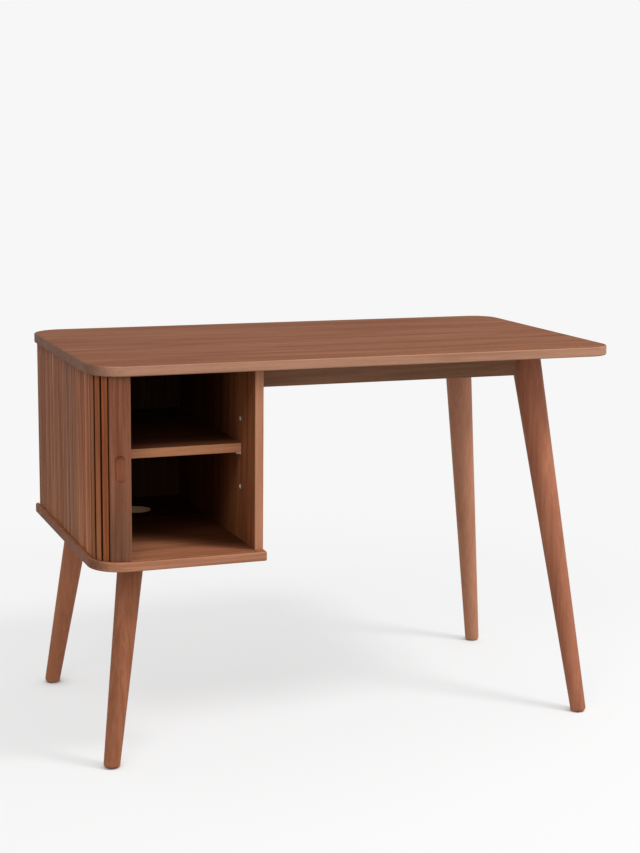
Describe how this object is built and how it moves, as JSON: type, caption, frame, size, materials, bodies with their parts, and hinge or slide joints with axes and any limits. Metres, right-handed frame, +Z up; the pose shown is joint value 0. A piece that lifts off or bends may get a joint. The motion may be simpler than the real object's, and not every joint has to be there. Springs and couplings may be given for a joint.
{
  "type": "tambour desk",
  "caption": "Round-cornered writing desk on turned-out tapered legs, with an open cabinet at its left closed by a slatted tambour shutter, and a shelf on pins.",
  "frame": {"origin": "on the floor, under the middle of the desktop", "axes": "+X to the right along the desk's width, +Y to the back, +Z up"},
  "size_m": [1.06, 0.584, 0.762],
  "materials": {
    "walnut": "satin",
    "walnut_dark": "satin",
    "walnut_legs": "satin",
    "walnut_slats": "satin",
    "zinc_steel": "satin",
    "nickel": "gloss",
    "brass_insert": "satin",
    "beech": "matte",
    "felt": "matte",
    "nylon": "matte",
    "canvas": "matte"
  },
  "bodies": {
    "desk": {"desktop": "walnut", "base_board": "walnut", "right_panel": "walnut", "left_panel": "walnut", "back_panel": "walnut", "stop_post": "walnut", "front_apron": "walnut_dark", "back_apron": "walnut_dark", "side_apron": "walnut_dark", "leg_front_left": "walnut_legs", "leg_back_left": "walnut_legs", "leg_front_right": "walnut_legs", "leg_back_right": "walnut_legs", "leg_bolts": "zinc_steel", "leg_inserts": "brass_insert", "corner_bracket_front": "zinc_steel", "corner_bracket_back": "zinc_steel", "bracket_bolts": "zinc_steel", "bracket_nuts": "zinc_steel", "bracket_screws": "zinc_steel", "apron_dowels": "beech", "top_screws": "zinc_steel", "cabinet_dowels": "beech", "base_screws": "zinc_steel", "back_screws": "zinc_steel", "pin_sleeves": "nickel", "shelf_pins": "zinc_steel", "foot_glides": "felt"},
    "shelf": {"shelf": "walnut"},
    "pegs": {"stile_pegs": "nylon"},
    "stile": {"lead_stile": "walnut"},
    "shutter_01": {"slat_01": "walnut_slats", "canvas_01": "canvas"},
    "shutter_02": {"slat_02": "walnut_slats", "canvas_02": "canvas"},
    "shutter_03": {"slat_03": "walnut_slats", "canvas_03": "canvas"},
    "shutter_middle": {"slats_middle": "walnut_slats", "canvas_middle": "canvas"},
    "shutter_15": {"slat_15": "walnut_slats", "canvas_15": "canvas"},
    "shutter_16": {"slat_16": "walnut_slats", "canvas_16": "canvas"},
    "shutter_17": {"slat_17": "walnut_slats", "canvas_17": "canvas"},
    "shutter_18": {"slat_18": "walnut_slats", "canvas_18": "canvas"},
    "shutter_19": {"slat_19": "walnut_slats", "canvas_19": "canvas"},
    "shutter_rear": {"slats_rear": "walnut_slats", "canvas_rear": "canvas"}
  },
  "joints": [
    {"name": "tambour_travel", "type": "slide", "parent": "desk", "child": "pegs", "axis": [1, 0, 0], "range_m": [0, 0.242]},
    {"name": "stile_turn", "type": "hinge", "parent": "pegs", "child": "stile", "pos_m": [-0.4645, -0.281, 0.5715], "axis": [0, 0, 1], "range_deg": [0, 15.5]},
    {"name": "shutter_01_turn", "type": "hinge", "parent": "pegs", "child": "shutter_01", "pos_m": [-0.48433, -0.27795, 0.5715], "axis": [0, 0, 1], "range_deg": [0, 40.67]},
    {"name": "shutter_02_turn", "type": "hinge", "parent": "desk", "child": "shutter_02", "pos_m": [-0.3734, -0.0904, 0.5715], "axis": [0, 0, 1], "range_deg": [0, 67.24]},
    {"name": "shutter_03_turn", "type": "hinge", "parent": "desk", "child": "shutter_03", "pos_m": [-0.37854, -0.12168, 0.5715], "axis": [0, 0, 1], "range_deg": [0, 78.73]},
    {"name": "shutter_middle_turn", "type": "hinge", "parent": "desk", "child": "shutter_middle", "pos_m": [-0.38368, -0.14566, 0.5715], "axis": [0, 0, 1], "range_deg": [0, 89.99]},
    {"name": "shutter_15_turn", "type": "hinge", "parent": "desk", "child": "shutter_15", "pos_m": [-0.37018, -0.1427, 0.5715], "axis": [0, 0, 1], "range_deg": [0, 83.28]},
    {"name": "shutter_16_turn", "type": "hinge", "parent": "desk", "child": "shutter_16", "pos_m": [-0.32434, -0.1352, 0.5715], "axis": [0, 0, 1], "range_deg": [0, 66.26]},
    {"name": "shutter_17_turn", "type": "hinge", "parent": "desk", "child": "shutter_17", "pos_m": [-0.24831, -0.1277, 0.5715], "axis": [0, 0, 1], "range_deg": [0, 49.24]},
    {"name": "shutter_18_turn", "type": "hinge", "parent": "desk", "child": "shutter_18", "pos_m": [-0.09525, -0.1202, 0.5715], "axis": [0, 0, 1], "range_deg": [0, 32.22]},
    {"name": "shutter_19_turn", "type": "hinge", "parent": "desk", "child": "shutter_19", "pos_m": [0.39145, -0.1127, 0.5715], "axis": [0, 0, 1], "range_deg": [0, 15.2]},
    {"name": "shutter_rear_slide", "type": "slide", "parent": "desk", "child": "shutter_rear", "axis": [0, -1, 0], "range_m": [0, 0.242]},
    {"name": "shelf_lift", "type": "slide", "parent": "desk", "child": "shelf", "axis": [0, 0, 1], "range_m": [0, 0.06]}
  ],
  "couplings": [
    {"joint": "stile_turn", "follows": "tambour_travel", "rad_per_m": 1.1179},
    {"joint": "shutter_01_turn", "follows": "tambour_travel", "rad_per_m": 2.933},
    {"joint": "shutter_02_turn", "follows": "tambour_travel", "rad_per_m": 4.8492},
    {"joint": "shutter_03_turn", "follows": "tambour_travel", "rad_per_m": 5.6781},
    {"joint": "shutter_middle_turn", "follows": "tambour_travel", "rad_per_m": 6.4901},
    {"joint": "shutter_15_turn", "follows": "tambour_travel", "rad_per_m": 6.0061},
    {"joint": "shutter_16_turn", "follows": "tambour_travel", "rad_per_m": 4.7787},
    {"joint": "shutter_17_turn", "follows": "tambour_travel", "rad_per_m": 3.5513},
    {"joint": "shutter_18_turn", "follows": "tambour_travel", "rad_per_m": 2.3239},
    {"joint": "shutter_19_turn", "follows": "tambour_travel", "rad_per_m": 1.0965},
    {"joint": "shutter_rear_slide", "follows": "tambour_travel", "ratio": 1}
  ]
}
